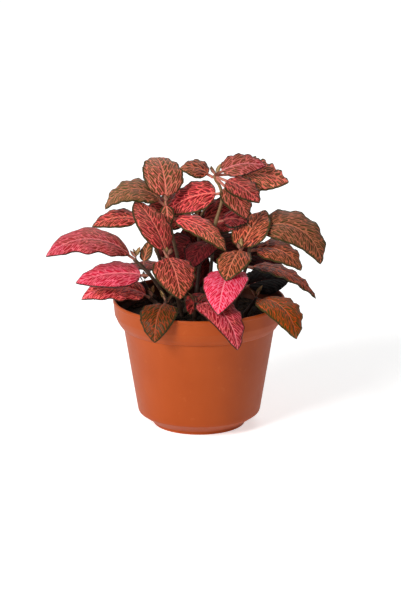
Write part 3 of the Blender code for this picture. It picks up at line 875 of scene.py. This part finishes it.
def make_stem(stem):
    """One fleshy stem, swollen at each node where leaves leave it, from below the mix to its tip."""
    route = smooth_route(stem.points, STEM_POINTS)
    length = sum((b - a).length for a, b in zip(route, route[1:]))
    stations = sorted({leaf.station for leaf in LEAVES if leaf.stem == stem.name} | {0.12})
    radii = []
    for i in range(STEM_POINTS + 1):
        share = i / STEM_POINTS
        swell = sum(math.exp(-(((share - s) * length / NODE_REACH) ** 2)) for s in stations)
        radii.append(STEM_BASE - STEM_TAPER * share + NODE_SWELL * min(swell, 1.0))
    radii[-1] *= 0.72
    root = [route[0] - Vector((0, 0, 8 - k)) for k in range(0, 8, 2)]
    bm = rod(root + route, [STEM_RADIUS] * len(root) + radii, STEM_SIDES)
    finish_piece(f"{stem.name}_rod", bm, [STEM], stem.name)
    return smooth_route(stem.points, STEM_STEPS)


# ---------------------------------------------------------------- leaves


def outline(u, low):
    """A blade's half width as a share of its widest, from base (0) to tip (1)."""
    high = 0.80
    peak = low / (low + high)
    return (u / peak) ** low * ((1 - u) / (1 - peak)) ** high


def bend_share(leaf, s):
    """How much of a blade's bend it has made at a distance from the stalk's foot."""
    return max(0.0, s - leaf.petiole) / leaf.length


def direction(leaf, s):
    """The midrib's direction at a distance from the stalk's foot, in a frame whose X is the heading."""
    pitch = math.radians(leaf.rise - leaf.droop * bend_share(leaf, s))
    turn = math.radians(leaf.sweep * bend_share(leaf, s))
    return Vector((math.cos(turn) * math.cos(pitch), math.sin(turn) * math.cos(pitch), math.sin(pitch)))


def blade_frames(leaf, stations):
    """The midrib's point, side and upward normal at each distance from the stalk's foot."""
    step = (leaf.petiole + leaf.length) / BEND_STEPS
    line = [Vector()]
    for i in range(BEND_STEPS):
        line.append(line[-1] + step * direction(leaf, (i + 0.5) * step))
    frames = []
    for s in stations:
        k = min(int(max(s, 0) / step), BEND_STEPS - 1)
        tangent = direction(leaf, s)
        turn = math.radians(leaf.sweep * bend_share(leaf, s))
        level = Vector((math.sin(turn), -math.cos(turn), 0))
        side = Matrix.Rotation(math.radians(leaf.roll), 3, tangent) @ level
        frames.append((line[k].lerp(line[k + 1], s / step - k), side, side.cross(tangent)))
    return frames


def leaf_foot(leaf, route):
    """Where a leaf's stalk starts: ahead of the stem's tip if it carries on its line, else at its side."""
    place, axis = along(route, leaf.station)
    out = Matrix.Rotation(math.radians(leaf.heading), 3, "Z") @ direction(leaf, 0)
    across = out - out.dot(axis) * axis
    if across.length < SIDEWAYS:
        return place + out * (GAP + STEM_RADIUS * across.length)
    return place + across.normalized() * (STEM_RADIUS + GAP + LEAF_THICKNESS / 2)


def make_blade(leaf, look, seed):
    """The blade alone: a grid laid along its midrib, quilted between its ribs, then given its thickness."""
    shares = [(1 - math.cos(math.pi * k / ROWS)) / 2 for k in range(ROWS + 1)]
    frames = blade_frames(leaf, [leaf.petiole + leaf.length * u for u in shares])
    bm = bmesh.new()
    bmesh.ops.create_grid(bm, x_segments=ROWS, y_segments=COLUMNS, size=1.0)
    vein = bm.verts.layers.float_vector.new("vein")
    blade = bm.verts.layers.float_vector.new("blade")
    # Each point carries the leaf's depth, its painted shade; a depth below 0 is painted light.
    depth = bm.verts.layers.float.new("depth")
    for vert in bm.verts:
        row = round((vert.co.x + 1) / 2 * ROWS)
        across = vert.co.y
        u = shares[row]
        middle, side, up = frames[row]
        beat = math.tau * look.waves * u + (seed if across > 0 else 1.7 * seed + 2.0)
        small = math.sin(2.7 * beat + seed)
        share = 1 + look.lopsided * (1 if across > 0 else -1)
        scallop = share * look.scallop * math.sin(beat)
        half = leaf.width / 2 * outline(u, look.shoulder) * (1 + scallop + 0.012 * small)
        half = max(half, 0.8 * (1 - u) if u < 0.5 else 0.1)
        full = min(1.0, half / 5)
        run = leaf.length * u
        out = half * across
        rib = run - abs(out) * (RIB_SLANT + RIB_CURVE * abs(out))
        quilt = QUILT * 0.5 * (1 - math.cos(math.tau * rib / RIB_SPACING)) * (1 - across**4)
        groove = GROOVE * math.exp(-((out / 0.9) ** 2)) * (1 - u)
        wave = share * look.ripple * abs(across) ** 2.5 * (math.sin(beat) + 0.25 * small)
        lift = half * (CREASE * abs(across) - CUP * across**2) + full * (quilt - groove + wave)
        vert.co = (middle + side * out + up * (lift + SKIN / 2)) * MM
        vert[vein] = (run, out, half * (1 - abs(across)) + 0.25 * (1 - u))
        vert[blade] = (u, seed, look.base + (look.tip - look.base) * u)
        vert[depth] = look.depth
    bmesh.ops.reverse_faces(bm, faces=bm.faces)
    rim = [edge for edge in bm.edges if edge.is_boundary]
    copied = bmesh.ops.duplicate(bm, geom=bm.verts[:] + bm.edges[:] + bm.faces[:])["geom"]
    under = [item for item in copied if isinstance(item, bmesh.types.BMFace)]
    below = [item for item in copied if isinstance(item, bmesh.types.BMVert)]
    under_rim = [item for item in copied if isinstance(item, bmesh.types.BMEdge) and item.is_boundary]
    bmesh.ops.reverse_faces(bm, faces=under)
    bm.normal_update()
    for vert in below:
        thick = 0.28 + (SKIN - 0.28) * min(1.0, vert[vein].z / 3)
        vert.co += vert.normal * thick * MM
    for face in under:
        face.material_index = 1
    bmesh.ops.bridge_loops(bm, edges=rim + under_rim)
    return bm


def make_midrib(leaf):
    """The round stalk, carried on under the blade as its midrib."""
    end = leaf.petiole + 0.86 * leaf.length
    steps = 30
    marks = [-1.6 + (end + 1.6) * k / steps for k in range(steps + 1)]
    route = []
    radii = []
    for s, (middle, _, up) in zip(marks, blade_frames(leaf, marks)):
        u = max(0.0, s - leaf.petiole) / leaf.length
        radius = (1.0 - 0.8 * u) * min(1.0, leaf.width / 20)
        under = min(1.0, max(0.0, s) / max(leaf.petiole, 1))
        route.append(middle - up * under * 0.85 * radius)
        radii.append(radius)
    return rod(route, radii, 10, finish=2)


def make_leaf(leaf, look, route, seed, name=None, node_name=None):
    """One leaf: its blade with its stalk and midrib, in its place on its stem."""
    bm = make_blade(leaf, look, seed)
    add_shape(bm, make_midrib(leaf))
    turn = Matrix.Rotation(math.radians(leaf.heading), 4, "Z")
    place = Matrix.Translation(leaf_foot(leaf, route) * MM)
    bmesh.ops.transform(bm, matrix=place @ turn, verts=bm.verts)
    piece = finish_piece(
        name or f"{leaf.name}_blade", bm, [SKINS[look.skin], BACK, STALK], node_name, 50
    )
    if node_name:
        low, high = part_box(node_name)
        for axis in range(3):
            values = [vert.co[axis] for vert in piece.data.vertices]
            if abs(min(values) - low[axis]) > 4 * MM or abs(max(values) - high[axis]) > 4 * MM:
                raise ValueError(f"{leaf.name} isn't where the frame holds it")
    return piece


def make_buds(stem, route, seed):
    """The three folded young leaves at a stem's growing tip."""
    _, axis = along(route, 1.0)
    heading = math.degrees(math.atan2(axis.y, axis.x))
    look = Look("young", 0.1, 0.4, 0.1, 0.01, 2)
    for k, (turn, rise, length) in enumerate(((60, 62, 8.0), (-120, 66, 7.0), (-30, 74, 5.5))):
        bud = Leaf("bud", stem.name, 1.0, heading + turn, rise, 30, 0, 0.8, length, length * 0.52)
        make_leaf(bud, look, route, seed + k, f"{stem.name}_bud_{k + 1}")


# ---------------------------------------------------------------- stage


def make_stage():
    """A pale floor that curves up into a pale backdrop."""
    bm = bmesh.new()
    line = [(-FLOOR_REACH, 0.0), (CURVE_START, 0.0)]
    for turn in (0.3, 0.6, 0.9, 1.2, math.pi / 2):
        line.append((CURVE_START + CURVE_RADIUS * math.sin(turn), CURVE_RADIUS * (1 - math.cos(turn))))
    line.append((CURVE_START + CURVE_RADIUS, BACKDROP_TOP))
    verts = [bm.verts.new((-FLOOR_REACH, y, z)) for y, z in line]
    edges = [bm.edges.new(pair) for pair in zip(verts, verts[1:])]
    swept = bmesh.ops.extrude_edge_only(bm, edges=edges)["geom"]
    far = [item for item in swept if isinstance(item, bmesh.types.BMVert)]
    bmesh.ops.translate(bm, vec=(2 * FLOOR_REACH, 0, 0), verts=far)
    bmesh.ops.recalc_face_normals(bm, faces=bm.faces)
    mesh = bpy.data.meshes.new("studio_floor")
    bm.to_mesh(mesh)
    bm.free()
    mesh.shade_smooth()
    made, tree, shader = new_material("studio_paper", 0.9)
    spots = place_group(tree, flecks, Scale=6.0, Fleck=0.6)
    shade = blend(tree, spots["Cloud"], (0.90, 0.90, 0.895, 1), (0.93, 0.93, 0.925, 1))
    feed(tree, shade, shader.inputs["Base Color"])
    shader.inputs["Emission Color"].default_value = (1, 1, 1, 1)
    seen = node(tree, "ShaderNodeLightPath").outputs["Is Camera Ray"]
    feed(tree, sums(tree, "MULTIPLY_ADD", seen, 0.34, 0.24), shader.inputs["Emission Strength"])
    mesh.materials.append(made)
    floor = bpy.data.objects.new("studio_floor", mesh)
    bpy.context.scene.collection.objects.link(floor)


def add_light(name, place, target, size, power):
    """A round soft lamp, aimed at a point."""
    lamp = bpy.data.lights.new(name, "AREA")
    lamp.shape = "DISK"
    lamp.size = size
    lamp.energy = power
    made = bpy.data.objects.new(name, lamp)
    made.location = place
    made.rotation_euler = (Vector(target) - Vector(place)).to_track_quat("-Z", "Y").to_euler()
    bpy.context.scene.collection.objects.link(made)


def make_lights():
    """A key light from the front left, a faint fill, a back light, and pale air."""
    add_light("key_light", (-0.95, -1.1, 0.9), (0, 0, 0.1), 0.7, 24)
    add_light("fill_light", (1.1, -1.2, 0.6), (0, 0, 0.1), 1.2, 0.6)
    add_light("back_light", (0.3, 1.1, 1.3), (0, 0, 0.12), 1.0, 6)
    world = bpy.data.worlds.new("studio_air")
    world.use_nodes = True
    tree = world.node_tree
    air = tree.nodes["Background"]
    air.inputs["Color"].default_value = (1, 1, 1, 1)
    seen = node(tree, "ShaderNodeLightPath").outputs["Is Camera Ray"]
    feed(tree, sums(tree, "MULTIPLY_ADD", seen, 0.8, 0.15), air.inputs["Strength"])
    bpy.context.scene.world = world
    bpy.context.scene.view_settings.view_transform = "Standard"


def make_camera():
    """A long lens, looking down at the plant's middle by a sixth of a right angle."""
    aim = Vector((1, 0, 88)) * MM
    tilt = math.radians(CAMERA_TILT)
    lens = bpy.data.cameras.new("camera")
    lens.lens = LENS
    lens.sensor_width = 36
    lens.clip_end = 20
    made = bpy.data.objects.new("camera", lens)
    made.location = aim + CAMERA_REACH * Vector((0, -math.cos(tilt), math.sin(tilt)))
    made.rotation_euler = (aim - made.location).to_track_quat("-Z", "Y").to_euler()
    bpy.context.scene.collection.objects.link(made)
    bpy.context.scene.camera = made


make_camera()
make_lights()
make_stage()
make_pot()
make_soil()
routes = {}
for stem in STEMS:
    routes[stem.name] = make_stem(stem)
for number, leaf in enumerate(LEAVES):
    make_leaf(leaf, LOOKS[leaf.name], routes[leaf.stem], 1.0 + 0.61 * number, None, leaf.name)
for number, stem in enumerate(STEMS):
    make_buds(stem, routes[stem.name], 40.0 + 1.3 * number)
